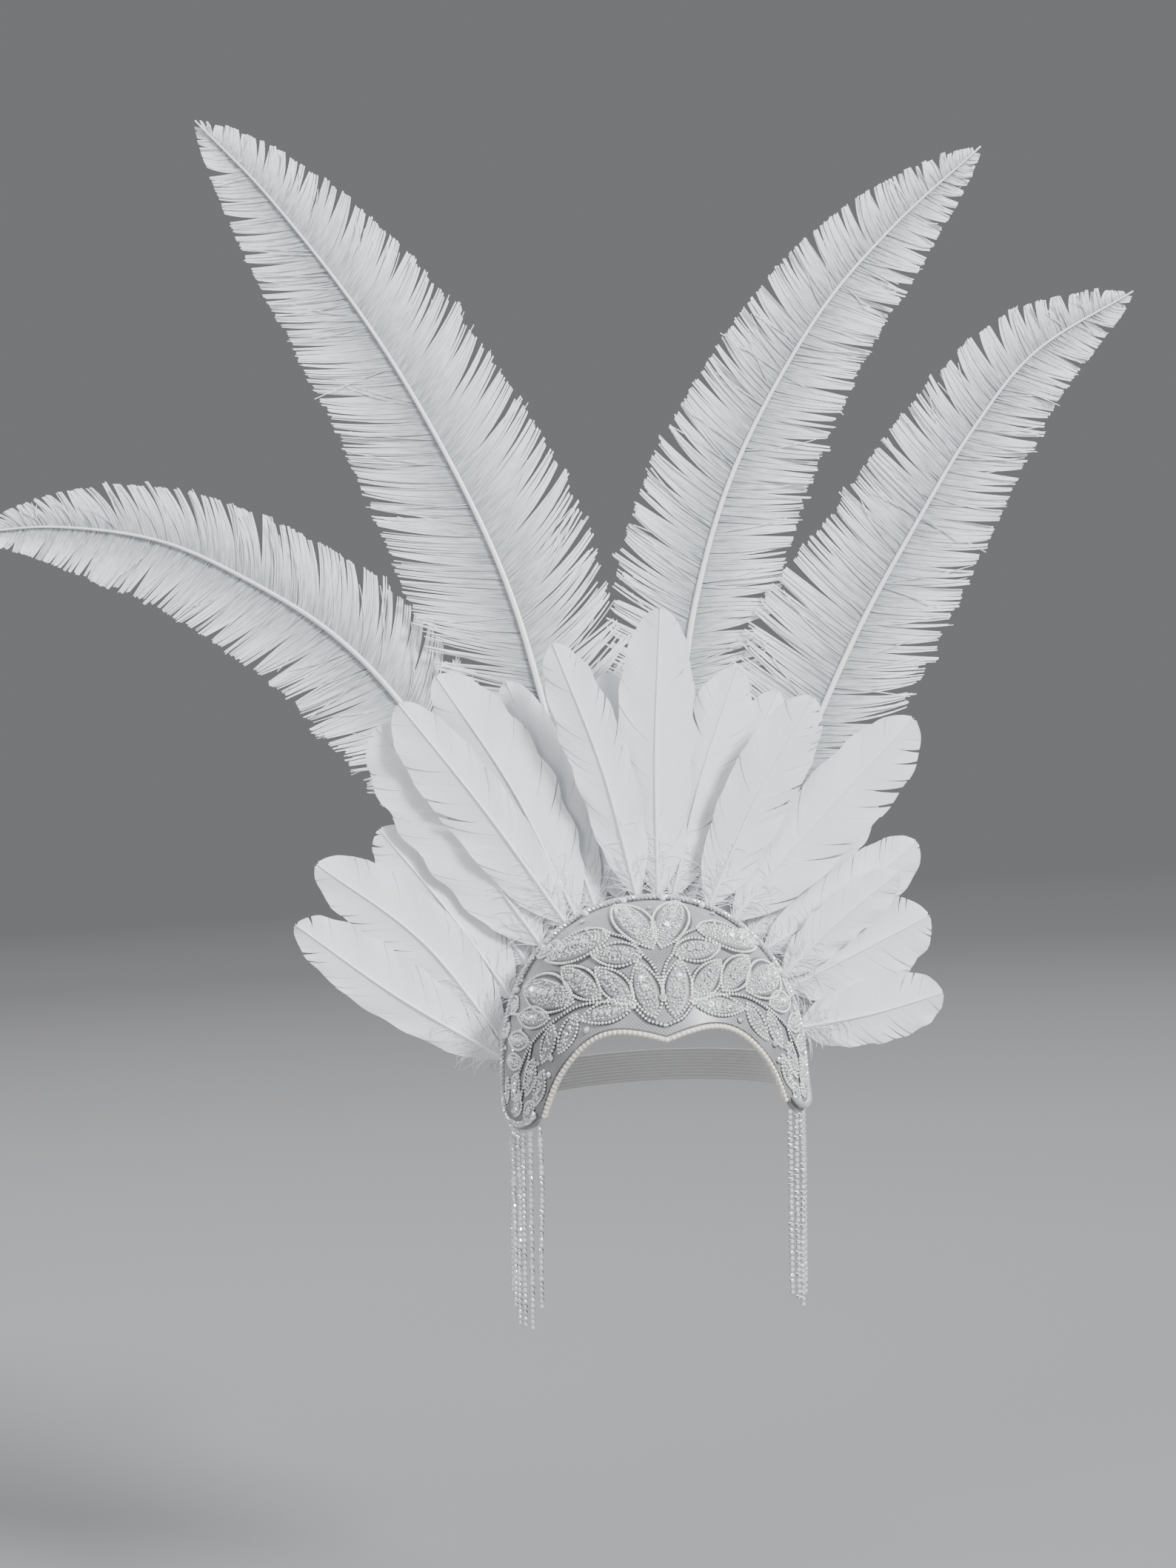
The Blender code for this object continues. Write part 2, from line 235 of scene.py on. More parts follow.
face = smooth_path([face_point(a, z * MM) for a, z in FACE_EDGE], 4)
rear = smooth_path([crown_point(a, y * MM) for a, y in REAR_EDGE], 4)
half_columns = len(face) - 1
shell = bmesh.new()
bmesh.ops.create_grid(shell, x_segments=2 * half_columns, y_segments=20, size=1)
for vert in shell.verts:
    column = round(vert.co.x * half_columns)
    inner = on_head(face[abs(column)].lerp(rear[abs(column)], (vert.co.y + 1) / 2))
    inner.x = math.copysign(inner.x, column) if column else 0.0
    vert.co = inner
bmesh.ops.recalc_face_normals(shell, faces=shell.faces)
if sum(f.normal.dot(outward(f.calc_center_median())) for f in shell.faces) < 0:
    bmesh.ops.reverse_faces(shell, faces=shell.faces)
net_map = shell.loops.layers.uv.new("net")
for each in shell.faces:
    for loop in each.loops:
        loop[net_map].uv = chart_of(loop.vert.co)
bmesh.ops.solidify(shell, geom=shell.faces[:], thickness=-WALL)
bmesh.ops.reverse_faces(shell, faces=shell.faces)
for each in shell.faces:
    each.material_index = 1 if each.normal.dot(outward(each.calc_center_median())) < -0.5 else 0

NET_PITCH = 5.2         # radians of the net's repeat for each degree of the chart
NET_THREAD = 0.72       # the sine's level above which a thread of the net lies
satin = Finish("silver_net", roughness=0.38, metallic=0.15, sheen_weight=0.3)
across, up, _ = satin.axes(satin.uv)
thread_a = ((across + up) * NET_PITCH).sine().over(NET_THREAD)
thread_b = ((across - up) * NET_PITCH).sine().over(NET_THREAD)
mesh_lines = thread_a.sum("MAXIMUM", thread_a, thread_b)
cloud = satin.noise(60)
ground = cloud.ramp(0.3, (0.17, 0.175, 0.185), 0.75, (0.29, 0.295, 0.31))
satin.feed(base_color=ground.node("Mix", {"data_type": "RGBA"}, {
    0: mesh_lines * 0.55, 6: ground, 7: (0.55, 0.56, 0.58, 1)}, out=2))
satin.feed(roughness=mesh_lines * 0.25 + 0.32)
satin.bump(mesh_lines + cloud * 0.6, 0.5, 0.0003)
inner = Finish("stiffened_cotton", roughness=0.85)
inner.bump(inner.mottle(500, 0.3, (0.58, 0.57, 0.54), 0.7, (0.72, 0.71, 0.68), 4), 0.4, 0.0003)
add_piece("cap_shell", shell, (satin, inner), ["cap"])


# ---- The brow edging ----
# A cotton cord whipped along the cut edge of the cap, with a row of small cream pearl beads
# sewn over it, from one temple over the point on the brow to the other.
def even_path(points, spacing, steps=24):
    """The same smooth curve with its points about one spacing apart."""
    fine = smooth_path(points, steps)
    lengths = [0.0]
    for a, b in zip(fine, fine[1:]):
        lengths.append(lengths[-1] + (b - a).length)
    count = max(2, round(lengths[-1] / spacing))
    path = []
    k = 0
    for i in range(count + 1):
        goal = lengths[-1] * i / count
        while k < len(fine) - 2 and lengths[k + 1] < goal:
            k += 1
        part = (goal - lengths[k]) / (lengths[k + 1] - lengths[k])
        path.append(fine[k].lerp(fine[k + 1], part))
    return path


def unit_bead(subdivisions=2):
    bead = bmesh.new()
    bmesh.ops.create_icosphere(bead, subdivisions=subdivisions, radius=1)
    return bead


class Copies:
    """Many copies of small units gathered as one mesh, each placed by its own rule."""

    def __init__(self):
        self.verts = []
        self.corners = []
        self.sizes = []
        self.maps = []
        self.count = 0

    def unit(self, shape):
        """Read a unit once: its corner places, and each face as a row of corner numbers."""
        shape.verts.ensure_lookup_table()
        places = np.array([v.co[:] for v in shape.verts])
        faces = [[v.index for v in f.verts] for f in shape.faces]
        shape.free()
        return places, np.array([i for f in faces for i in f]), np.array([len(f) for f in faces])

    def add(self, unit, places, chart=None):
        _, corners, sizes = unit
        self.verts.append(places)
        self.corners.append(corners + self.count)
        self.sizes.append(sizes)
        self.maps.append((np.zeros((len(places), 2)) if chart is None else chart)[corners])
        self.count += len(places)

    def put(self, unit, matrix):
        spin = np.array(matrix.to_3x3())
        self.add(unit, unit[0] @ spin.T + np.array(matrix.translation))

    def to_mesh(self, made):
        """Write all that was gathered into an empty mesh."""
        verts = np.concatenate(self.verts)
        corners = np.concatenate(self.corners)
        sizes = np.concatenate(self.sizes)
        made.vertices.add(len(verts))
        made.vertices.foreach_set("co", verts.astype(np.float32).ravel())
        made.loops.add(len(corners))
        made.loops.foreach_set("vertex_index", corners.astype(np.int32))
        made.polygons.add(len(sizes))
        made.polygons.foreach_set("loop_start", (np.cumsum(sizes) - sizes).astype(np.int32))
        made.uv_layers.new(name="run")
        made.uv_layers["run"].data.foreach_set(
            "uv", np.concatenate(self.maps).astype(np.float32).ravel())
        made.update(calc_edges=True)
        made.validate()


def stand(place, normal, turn=0.0, size=1.0):
    """The placement of a unit whose own up is square to the cap."""
    swing = Vector(normal).to_track_quat("Z", "Y").to_matrix().to_4x4()
    scale = size if isinstance(size, (list, tuple)) else (size, size, size)
    return (Matrix.Translation(place) @ swing @ Matrix.Rotation(turn, 4, "Z")
            @ Matrix.Diagonal((*scale, 1)))


def cord_mesh(name, path, radius, sides=2, taper=None):
    """A round cord along a path, with closed ends, as a mesh."""
    curve = bpy.data.curves.new(name, "CURVE")
    curve.dimensions = "3D"
    curve.bevel_depth = radius
    curve.bevel_resolution = sides
    curve.use_fill_caps = True
    run = curve.splines.new("POLY")
    run.points.add(len(path) - 1)
    for spot, point, share in zip(run.points, path, taper or [1.0] * len(path)):
        spot.co = (*point, 1)
        spot.radius = share
    guide = add_object(name, curve)
    bpy.context.view_layer.update()
    made = bpy.data.meshes.new_from_object(guide.evaluated_get(
        bpy.context.evaluated_depsgraph_get()))
    bpy.data.objects.remove(guide)
    weld = bmesh.new()
    weld.from_mesh(made)
    bmesh.ops.remove_doubles(weld, verts=weld.verts, dist=0.01 * MM)
    weld.to_mesh(made)
    weld.free()
    return made


EDGING_SPANS = 9        # the points of the face edge that the edging follows
EDGING_DROP = 2.1 * MM
EDGING_BEAD = 1.4 * MM
EDGING_PITCH = 2.75 * MM
COTTON_RADIUS = 1.45 * MM
COTTON_STEP = 2.4 * MM


def face_edge_path(spacing):
    """The line of the brow edging: just off the cut edge, in the middle of the wall."""
    right = [face_point(a, z * MM) for a, z in FACE_EDGE[:EDGING_SPANS]]
    left = [Vector((-p.x, p.y, p.z)) for p in reversed(right[1:])]
    rows = [even_path([p + outward(p) * WALL / 2 for p in side], spacing)
            for side in (left + right[:1], right)]
    edge = rows[0] + rows[1][1:]
    path = []
    for i, point in enumerate(edge):
        along = edge[min(i + 1, len(edge) - 1)] - edge[max(i - 1, 0)]
        down = along.cross(outward(point)).normalized()
        path.append(point + (down if down.z < 0 else -down) * EDGING_DROP)
    return path


cream = Finish("cream_bead", roughness=0.3, coat_weight=0.4, coat_roughness=0.2)
cream.mottle(400, 0.35, (0.84, 0.79, 0.69), 0.7, (0.93, 0.90, 0.83))
cotton = Finish("cream_cotton", roughness=0.8)
cotton_strand = (cotton.axes(cotton.object)[0] * 2600).sine()
cotton.feed(base_color=cotton_strand.ramp(0.0, (0.66, 0.61, 0.52), 1.0, (0.82, 0.77, 0.68)))
cotton.bump(cotton_strand, 0.3, 0.0002)
bead = Copies()
pearl_unit = bead.unit(unit_bead())
for point in face_edge_path(EDGING_PITCH):
    lift = outward(point)
    bead.put(pearl_unit, stand(point + lift * 0.6 * MM, lift, size=EDGING_BEAD))
add_piece("brow_bead_edging", bead, cream, ["face_trim"])
add_piece("brow_cord", cord_mesh("brow_cord", face_edge_path(COTTON_STEP), COTTON_RADIUS),
          cotton)


# ---- The arch cord ----
# A two-ply silver cord couched round the bottom of one lobe, over the crown where the
# feathers start, and round the other lobe, with pearls sewn beside it at intervals.
CORD_LIFT = WALL + 0.4 * MM + 1.8 * MM
CORD_STEP = 0.55 * MM
CORD_LAY = 4.6 * MM             # one full turn of a ply round the other
PLY_RADIUS = 0.95 * MM
PLY_ASIDE = 0.85 * MM
PEARL_PLACES = (-72, -55, -38, -20, -7, 6, 19, 36, 54, 71)
PEARL_RADIUS = 1.75 * MM
PEARL_FORWARD = 4.6 * MM
# the cord round one lobe: distance behind the crown and height, in mm
LOBE_CORD = ((-54.6, -103.6), (-48.5, -107.6), (-39, -110.2), (-28, -110.3), (-18, -109.3),
             (-10, -105), (-4, -98), (-1, -90))
lobe_run = [Vector((HALF_WIDTH * math.sqrt(1 - (y * MM / HALF_DEPTH) ** 2), y * MM, z * MM))
            for y, z in LOBE_CORD]
arch_run = [crown_point(angle, 0.0) for angle in range(80, -81, -10)]
other_run = [Vector((-p.x, p.y, p.z)) for p in reversed(lobe_run)]
cord_line = even_path([p + outward(p) * CORD_LIFT for p in lobe_run + arch_run + other_run],
                      CORD_STEP)
silver = Finish("silver_cord", roughness=0.28, metallic=0.55)
silver.bump(silver.mottle(900, 0.3, (0.62, 0.63, 0.65), 0.7, (0.93, 0.94, 0.95)), 0.4, 0.0002)
for ply in (0, 1):
    wound = []
    for i, point in enumerate(cord_line):
        along = (cord_line[min(i + 1, len(cord_line) - 1)] - cord_line[max(i - 1, 0)]).normalized()
        side = outward(point)
        other = along.cross(side)
        turn = i * CORD_STEP / CORD_LAY * 2 * math.pi + ply * math.pi
        wound.append(point + (side * math.cos(turn) + other * math.sin(turn)) * PLY_ASIDE)
    add_piece(f"arch_cord_ply_{ply + 1}", cord_mesh(f"arch_ply_{ply}", wound, PLY_RADIUS, 1),
              silver, ["crown_trim"])

pearl = Finish("pearl", roughness=0.18, coat_weight=0.6, coat_roughness=0.08)
pearl.mottle(150, 0.35, (0.80, 0.79, 0.77), 0.7, (0.93, 0.92, 0.90))
arch_pearls = Copies()
big_pearl = arch_pearls.unit(unit_bead(3))
for degrees in PEARL_PLACES:
    seat = crown_point(degrees, -PEARL_FORWARD)
    lift = outward(seat)
    arch_pearls.put(big_pearl, stand(seat + lift * (WALL + 1.5 * MM), lift, size=PEARL_RADIUS))
add_piece("arch_pearls", arch_pearls, pearl)


# ---- The beadwork ----
# A leaf spray sewn on the cap by hand: each leaf is a low satin pad, its rim painted near black
# as shade, outlined with a rope of silver seed beads and filled with smaller beads and cut
# crystals.
# The stems are bead ropes laid on a dark cord, which is painted shadow under them.
def on_cap(spot, lift=0.0):
    """A chart place in degrees across and up, carried to the outside of the cap."""
    across, up = math.radians(spot[0]), math.radians(spot[1])
    turn = math.hypot(across, up)
    share = math.sin(turn) / turn if turn else 1.0
    inner = on_head(Vector((share * across, -math.cos(turn), share * up)) * HALF_WIDTH
                    + Vector((0, 0, -HEIGHT)))
    return inner + outward(inner) * (WALL + lift)


def cone_unit(holder, sides, foot, head, height, lift=0.0):
    """A cut-off cone with flat sides, as a unit: its two radii, its height and its middle."""
    cone = bmesh.new()
    bmesh.ops.create_cone(cone, cap_ends=True, segments=sides, radius1=foot, radius2=head,
                          depth=height)
    bmesh.ops.translate(cone, verts=cone.verts, vec=(0, 0, lift))
    return holder.unit(cone)


# a leaf: one end and the other on the chart, and its half width, in degrees
LEAVES = (
    ((-1.5, 47), (-15, 83), 6.3), ((-16, 57), (-47, 56), 7.6), ((-5, 44.5), (-23.5, 49), 4.6),
    ((-20, 31), (-36, 47), 4.6), ((-9.5, 28), (-21.5, 42.5), 3.9), ((-3, 23), (-7, 42), 4.2),
    ((-9, 27.5), (-27.5, 25), 3.2), ((-30, 31.5), (-62, 48), 7.2), ((-41, 27.5), (-64, 33), 4.0),
    ((-53, 20), (-75, 24), 3.8), ((-29, 27), (-36.5, 14.5), 2.9), ((-39, 24.5), (-45, 11.5), 3.0),
    ((-59, 12), (-77, 13), 3.4), ((-50, 13), (-57, -2), 3.2), ((-63, 7), (-71, -6), 3.6),
    ((-44.5, 8.5), (-51, -6), 2.5), ((-52, -4), (-58.5, -13.5), 2.6),
    ((-62, -3), (-68, -14), 3.2), ((-66, 38), (-82, 47), 4.2), ((-40, 62), (-58, 66), 4.2),
    ((-76, 30), (-88, 30), 3.4), ((-77, 4), (-85, -12), 3.4),
)
# a stem: chart places along it, in degrees
STEMS = (
    ((-9, 27), (-19, 29.5), (-29, 29.5), (-40, 25.5), (-51, 19.5), (-59, 11), (-65, 2), (-68, -8)),
    ((-5, 44.5), (-2.5, 41), (-0.6, 36), (0.2, 31)),
    ((-9, 26.5), (-5.5, 22.5), (-2.5, 21.2), (-0.3, 20.4)),
    ((-5, 44.5), (-9, 52), (-16, 57)),
    ((-51, 19.5), (-53, 14), (-57.5, 4), (-61.5, -5)),
    ((-62, 33.5), (-70, 36), (-80, 39)),
)
# larger crystals sewn singly: chart place in degrees and radius in mm
SINGLE_STONES = ((0, 29, 2.1), (-25, 21.3, 1.5), (-37.5, 21, 1.3), (-40.5, 13, 1.8),
                 (-42, 7, 1.7), (-47.5, 11.5, 1.5), (-53.7, 5, 1.7), (-62, -2, 1.9),
                 (-55, -9, 1.6), (-70, -12, 1.7), (-68, 18, 1.4), (-26, 64, 1.5), (-30, 73, 1.4),
                 (-52, 74, 1.5), (-70, 56, 1.4), (-84, 38, 1.4), (-83, 20, 1.4), (-73, 0, 1.4),
                 (-60, 26, 1.2), (0, 60, 1.6), (0, 72, 1.4))
PAD_HEIGHT = 0.5 * MM
OUTLINE_SEED, OUTLINE_PITCH = 0.86 * MM, 2.0 * MM
STEM_SEED, STEM_PITCH = 0.92 * MM, 2.05 * MM
STEM_SHADOW_RADIUS = 1.15 * MM
LEAST_GEM, LARGEST_GEM = 1.3, 2.1       # radii in mm of the crystals in a leaf
GEM_SPACING = 2.7                       # between those crystals, in their own radii
STONE_SEAT = 0.25                       # a stone's height in its cup, in its own radii
FILL_SEEDS = (0.6, 0.72, 0.88)          # radii in mm of the beads that fill a leaf
FILL_PITCH, FILL_ROW = 2.1 * MM, 1.6 * MM
FILL_GAP, FILL_INSET = 1.25 * MM, 1.2 * MM
random.seed(7)
pads = Copies()
pad_grid = bmesh.new()
bmesh.ops.create_grid(pad_grid, x_segments=14, y_segments=8, size=1)
bmesh.ops.solidify(pad_grid, geom=pad_grid.faces[:], thickness=1)
for vert in pad_grid.verts:
    vert.co.z = 1.0 if vert.co.z > -0.5 else 0.0
bmesh.ops.recalc_face_normals(pad_grid, faces=pad_grid.faces)
pad_unit = pads.unit(pad_grid)
ropes = Copies()
seed_unit = ropes.unit(unit_bead())
filler = Copies()
fill_unit = filler.unit(unit_bead())
stones = Copies()
stone_unit = cone_unit(stones, 8, 1, 0.55, 0.6, 0.3)
cups = Copies()
cup_unit = cone_unit(cups, 8, 1.05, 1.22, 0.5)


def set_stone(place, turn, size):
    """A cut crystal in its cup, sewn at a place on the cap."""
    lift = outward(place)
    cups.put(cup_unit, stand(place, lift, turn, size))
    stones.put(stone_unit, stand(place + lift * STONE_SEAT * size, lift, turn, size))


def lay_rope(chart_line, size, spacing):
    """Seed beads threaded side by side along a line on the cap."""
    places = even_path([on_cap(spot, size * 0.8) for spot in chart_line], spacing, 8)
    for place in places:
        ropes.put(seed_unit, stand(place, outward(place), size=size * random.uniform(0.93, 1.07)))


def lay_leaf(first, last, half):
    """One leaf: its pad, its outline, its crystals and the beads that fill it."""
    start, end = Vector(first), Vector(last)
    along = end - start
    aside = Vector((-along.y, along.x)).normalized()

    def spot(t, s):
        swell = math.sin(math.pi * t ** 0.9) ** 0.8 if 0 < t < 1 else 0.0
        return start + along * t + aside * half * swell * s

    places = []
    # the pad reaches out past the bead outline, so its rim, painted dark as shade, shows on both
    # sides
    for x, y, z in pad_unit[0]:
        t = 0.02 + 0.96 * (x + 1) / 2
        crown = z * PAD_HEIGHT * (1 - 0.8 * y * y)
        places.append(on_cap(spot(t, y * 1.32), 0.12 * MM + crown))
    pads.add(pad_unit, np.array(places), pad_unit[0][:, :2])
    for s in (-1, 1):
        lay_rope([spot(k / 12, s * 1.1) for k in range(13)], OUTLINE_SEED, OUTLINE_PITCH)
    span = (on_cap(end) - on_cap(start)).length
    girth = half * 1.5 * MM
    gem_size = min(LARGEST_GEM, max(LEAST_GEM, girth / MM * 0.26)) * MM
    gems = max(1, int(0.52 * span / (GEM_SPACING * gem_size)))
    taken = []
    for k in range(gems):
        t = 0.26 + 0.5 * (k + 0.5) / gems if gems > 1 else 0.5
        place = on_cap(spot(t, random.uniform(-0.12, 0.12)), 0.9 * MM)
        taken.append(place)
        set_stone(place, random.uniform(0, 1), gem_size)
    rows = max(1, int(girth / FILL_ROW))
    steps = max(3, int(span / FILL_PITCH))
    for row in range(-rows + 1, rows):
        for k in range(1, steps):
            t = (k + random.uniform(-0.3, 0.3)) / steps
            s = (row + random.uniform(-0.25, 0.25)) / rows * 0.8
            place = on_cap(spot(min(0.95, max(0.06, t)), s), 0.95 * MM)
            near = min((place - other).length for other in taken)
            if near < FILL_GAP + (0.6 * gem_size if len(taken) <= gems else 0):
                continue
            level = on_cap(spot(t, s))
            if min((on_cap(spot(t, rim)) - level).length for rim in (-1, 1)) > FILL_INSET:
                taken.append(place)
                size = random.choice(FILL_SEEDS) * MM
                filler.put(fill_unit, stand(place, outward(place), 0, size))


stem_shadow_lines = []
for flip in (1, -1):
    for first, last, half in LEAVES:
        lay_leaf((first[0] * flip, first[1]), (last[0] * flip, last[1]), half)
    for stem in STEMS:
        line = [(x * flip, y) for x, y in stem]
        lay_rope(line, STEM_SEED, STEM_PITCH)
        stem_shadow_lines.append(even_path([on_cap(spot, 0.2 * MM) for spot in line], 2 * MM, 8))

leaf_satin_rim_shade = Finish("leaf_satin_rim_shade", roughness=0.35, sheen_weight=0.4)
weave = leaf_satin_rim_shade.noise(900, 3)
rim = leaf_satin_rim_shade.axes(leaf_satin_rim_shade.uv)[1]
# the pad's rim is painted near black: painted shade beside the bead outline
satin_tone_and_rim_shade = (rim * rim).ramp(0.30, (0.42, 0.43, 0.44), 0.46, (0.045, 0.047, 0.05))
satin_grain = weave.ramp(0.3, (0.5, 0.5, 0.5), 0.7, (1.0, 1.0, 1.0))
leaf_satin_rim_shade.feed(base_color=satin_tone_and_rim_shade.node(
    "Mix", {"data_type": "RGBA", "blend_type": "MULTIPLY"}, {
        0: 0.6, 6: satin_tone_and_rim_shade, 7: satin_grain}, out=2))
leaf_satin_rim_shade.bump(weave, 0.5, 0.0003)
seed = Finish("silver_seed", roughness=0.2, metallic=0.3, coat_weight=0.8, coat_roughness=0.05)
seed.mottle(350, 0.35, (0.80, 0.81, 0.81), 0.65, (0.97, 0.97, 0.96))
fill = Finish("filler_bead", roughness=0.14, metallic=0.65, coat_weight=0.8, coat_roughness=0.04)
fill.mottle(500, 0.38, (0.74, 0.75, 0.77), 0.62, (1.0, 1.0, 1.0))
crystal = Finish("cut_crystal", roughness=0.06, metallic=0.5, coat_weight=1.0)
crystal.mottle(420, 0.35, (0.82, 0.85, 0.88), 0.65, (1.0, 1.0, 1.0))
plate = Finish("silver_plate", roughness=0.22, metallic=1.0)
plate.mottle(600, 0.35, (0.60, 0.61, 0.62), 0.65, (0.82, 0.82, 0.83))

for across, up, size in SINGLE_STONES:
    for flip in ((1, -1) if across else (1,)):
        set_stone(on_cap((across * flip, up), 0.5 * MM), 0.4, size * MM)
add_piece("leaf_pads", pads, leaf_satin_rim_shade)
# a dark cord laid under each stem rope, standing in for its shadow: painted shadow
stem_shadow_paint = Finish("painted_stem_shadow", roughness=0.5, metallic=0.4)
stem_shadow_paint.mottle(800, 0.3, (0.07, 0.072, 0.08), 0.7, (0.16, 0.16, 0.17))
stem_shadow_cord = bmesh.new()
for line in stem_shadow_lines:
    tube = cord_mesh("stem_shadow_tube", line, STEM_SHADOW_RADIUS, 1)
    stem_shadow_cord.from_mesh(tube)
    bpy.data.meshes.remove(tube)
add_piece("stem_shadow_cord", stem_shadow_cord, stem_shadow_paint)
add_piece("leaf_ropes", ropes, seed)
add_piece("leaf_filling", filler, fill)
add_piece("crystals", stones, crystal, sharp=10)
add_piece("crystal_cups", cups, plate)


# ---- The felt backing ----
# A crescent of stiff white felt that stands on the cap behind the arch cord.  The quills are
# glued and stitched to its face, so it only shows from behind.
FAN_RADIUS = 94 * MM
# a layer of the fan: its depth at the cap in mm, and how far it leans back for each metre out
LAYERS = {"front": (4.4, -0.040), "second": (6.9, 0.0), "third": (9.4, 0.045),
          "fourth": (11.9, 0.090), "plume_front": (15.2, 0.130), "plume_back": (18.6, 0.150),
          "backing": (23.4, 0.150)}
FELT_REACH = ((0, 34), (30, 32), (60, 22), (88, 9))
FELT_SPAN = 88
FELT_THICKNESS = 2.4 * MM
STITCH_STEP = 2.4
STITCH_LINES = (0.18, 0.82)
STITCH_SIZE = (1.5 * MM, 0.3 * MM, 0.35 * MM)


def fan_depth(x, z, layer):
    """How far back a layer of the fan lies at a place seen from the front."""
    depth, lean = LAYERS[layer]
    return depth * MM + lean * np.maximum(0.0, np.hypot(x, z + HEIGHT) - FAN_RADIUS)


crescent = bmesh.new()
bmesh.ops.create_grid(crescent, x_segments=FELT_SPAN, y_segments=4, size=1)
bmesh.ops.solidify(crescent, geom=crescent.faces[:], thickness=1)
low = min(v.co.z for v in crescent.verts)
for vert in crescent.verts:
    angle = FELT_SPAN * vert.co.x
    inner = crown_point(angle, LAYERS["backing"][0] * MM - FELT_THICKNESS)
    foot = inner + outward(inner) * (WALL + 0.4 * MM)
    reach = np.interp(abs(angle), *zip(*FELT_REACH)) * MM * (vert.co.y + 1) / 2
    x = foot.x + math.sin(math.radians(angle)) * reach
    z = foot.z + math.cos(math.radians(angle)) * reach
    vert.co = (x, fan_depth(x, z, "backing") + (vert.co.z - low - 0.5) * FELT_THICKNESS, z)
bmesh.ops.recalc_face_normals(crescent, faces=crescent.faces)
felt = Finish("white_felt", roughness=0.95, sheen_weight=0.5)
felt.bump(felt.mottle(700, 0.3, (0.62, 0.62, 0.60), 0.75, (0.82, 0.82, 0.80), 6), 0.8, 0.0006)
add_piece("felt_backing", crescent, felt, ["feather_backing"])
thread = Finish("white_thread", roughness=0.6)
thread.mottle(900, 0.3, (0.66, 0.66, 0.65), 0.7, (0.86, 0.86, 0.85))
stitches = Copies()
stitch_shape = bmesh.new()
bmesh.ops.create_uvsphere(stitch_shape, u_segments=8, v_segments=6, radius=1)
stitch_unit = stitches.unit(stitch_shape)
for angle in np.arange(-84, 85, STITCH_STEP):
    reach = np.interp(abs(angle), *zip(*FELT_REACH)) * MM
    inner = crown_point(angle, LAYERS["backing"][0] * MM)
    for share in STITCH_LINES:
        x = inner.x + math.sin(math.radians(angle)) * (reach * share + 3 * MM)
        z = inner.z + math.cos(math.radians(angle)) * (reach * share + 3 * MM)
        spot = Vector((x, float(fan_depth(x, z, "backing")) + 1.25 * MM, z))
        stitches.put(stitch_unit, Matrix.Translation(spot)
                     @ Matrix.Rotation(math.radians(angle), 4, "Y")
                     @ Matrix.Diagonal((*STITCH_SIZE, 1)))
add_piece("felt_stitches", stitches, thread)


# ---- The elastic ----
# A flat ribbed elastic round the back of the head, its ends sewn just inside the rear edge of
# the cap, which keeps the front shell on.
STRAP_LEVEL = -99 * MM
STRAP_HEIGHT = 18 * MM
STRAP_THICKNESS = 1.3 * MM
STRAP_END = 88              # degrees round from the back to each end
band = bmesh.new()
bmesh.ops.create_grid(band, x_segments=120, y_segments=6, size=1)
for vert in band.verts:
    share = (vert.co.x + 1) / 2
    angle = math.radians(STRAP_END * (2 * share - 1))
    tuck = min(1.0, max(0.0, (abs(share - 0.5) - 0.36) / 0.06))
    out = 1.05 * MM - tuck * 2.1 * MM
    vert.co = ((HALF_WIDTH + out) * math.sin(angle), (HALF_DEPTH + out) * math.cos(angle),
               STRAP_LEVEL + STRAP_HEIGHT * vert.co.y / 2)
bmesh.ops.recalc_face_normals(band, faces=band.faces)
if sum(f.normal.dot(f.calc_center_median() * Vector((1, 1, 0))) for f in band.faces) < 0:
    bmesh.ops.reverse_faces(band, faces=band.faces)
for vert in band.verts:
    vert.co += Vector((vert.co.x, vert.co.y, 0)).normalized() * STRAP_THICKNESS / 2
bmesh.ops.solidify(band, geom=band.faces[:], thickness=STRAP_THICKNESS)
elastic = Finish("ribbed_elastic", roughness=0.75, sheen_weight=0.3)
rib = (elastic.axes(elastic.object)[2] * 3400).sine()
elastic.feed(base_color=rib.ramp(0.0, (0.66, 0.66, 0.65), 1.0, (0.84, 0.84, 0.83)))
elastic.bump(rib + elastic.noise(900) * 0.6, 0.6, 0.0004)
add_piece("elastic_band", band, elastic, ["back_strap"])


# ---- The plumes ----
# Four white ostrich plumes, wired to stand up behind the fan and trimmed to a spear outline.
# The barbs are loose: closed up beside the shaft, and in clumps with gaps between them outside.
BARB_PITCH = 1.2 * MM
BARB_THICKNESS = 0.22 * MM
CLUMPS = (2, 3, 4, 5, 7, 10, 14)        # how many barbs hang together, and how often
CLUMP_ODDS = (0.2, 0.22, 0.2, 0.16, 0.12, 0.07, 0.03)
STRAYS = 40
# a plume: name, root angle, points of its shaft in mm, half widths left and right in mm, how
# far its barbs sweep on each side, how much wider its left side is low down, and its layer
PLUMES = (
    ("plume_upper_left", -18, ((-45, 100), (-64, 184), (-96, 265), (-136, 342), (-186, 416),
                               (-227, 465)), 54, 56, 0.5, 0.45, 0.05, "plume_front"),
    ("plume_lower_left", -33, ((-92, 60), (-126, 118), (-163, 161), (-208, 194), (-259, 221),
                               (-317, 233), (-366, 233)), 46, 42, 0.35, 0.55, 0.0, "plume_back"),
    ("plume_upper_right", 10, ((28, 90), (42, 165), (72, 246), (124, 329), (175, 384),
                               (234, 433)), 46, 46, 0.3, 0.32, 0.05, "plume_back"),
    ("plume_lower_right", 31, ((82, 50), (132, 143), (172, 205), (211, 260), (253, 305),
                               (315, 339)), 46, 46, 0.22, 0.45, 0.3, "plume_front"),
)
PLUME_OUTLINE = ((0, 0.04), (0.08, 0.4), (0.18, 0.85), (0.3, 1.0), (0.45, 1.02), (0.6, 0.93),
                 (0.72, 0.82), (0.82, 0.68), (0.9, 0.47), (0.96, 0.25), (1, 0.03))


